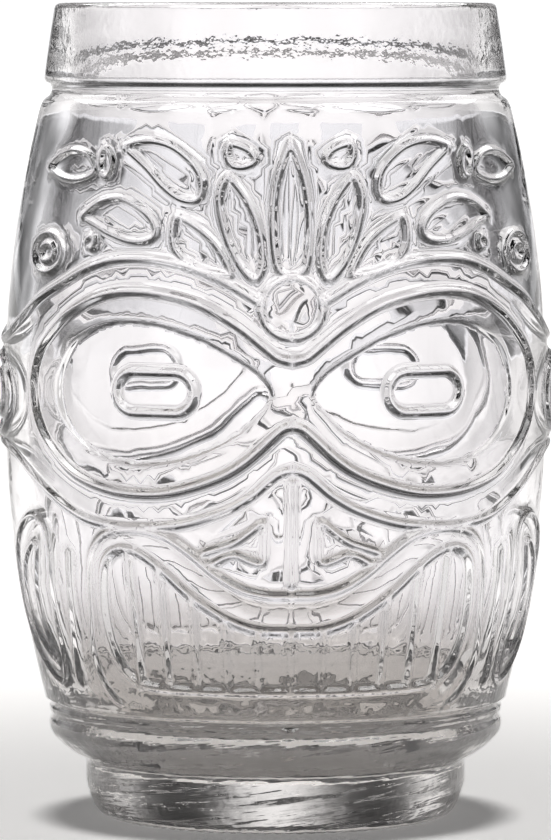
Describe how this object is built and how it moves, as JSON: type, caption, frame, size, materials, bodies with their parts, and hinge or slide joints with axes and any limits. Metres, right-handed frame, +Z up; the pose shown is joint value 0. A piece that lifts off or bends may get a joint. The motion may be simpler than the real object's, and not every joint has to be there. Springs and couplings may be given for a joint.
{
  "type": "tumbler",
  "caption": "Clear moulded glass drinking tumbler: barrel with a carved-mask face on its front and back, waist band, round foot and plain rim band.",
  "frame": {"origin": "on the table, under the tumbler's axis, at the foot's bearing face", "axes": "+Z up along the axis; one mask face looks along -Y and the other along +Y; the mould seams are on the X axis"},
  "size_m": [0.086, 0.0858, 0.127],
  "materials": {
    "glass": "clear, fire-polished, moulded"
  },
  "bodies": {
    "root": {"foot": "glass", "waist_band": "glass", "barrel_wall": "glass", "neck_ring": "glass", "rim_band": "glass", "mould_seams": "glass", "ears": "glass", "cheek_petals_front": "glass", "cheek_petals_back": "glass", "front_mask_brow": "glass", "front_mask_cheek": "glass", "front_eye_frame": "glass", "front_eye_rims": "glass", "front_pupils": "glass", "front_jewel": "glass", "front_crown_leaves": "glass", "front_side_leaves": "glass", "front_rosettes": "glass", "front_nose": "glass", "front_lip_line": "glass", "front_mouth_edge": "glass", "front_teeth": "glass", "front_chin_tick": "glass", "back_mask_brow": "glass", "back_mask_cheek": "glass", "back_eye_frame": "glass", "back_eye_rims": "glass", "back_pupils": "glass", "back_jewel": "glass", "back_crown_leaves": "glass", "back_side_leaves": "glass", "back_rosettes": "glass", "back_nose": "glass", "back_lip_line": "glass", "back_mouth_edge": "glass", "back_teeth": "glass", "back_chin_tick": "glass"}
  },
  "joints": []
}
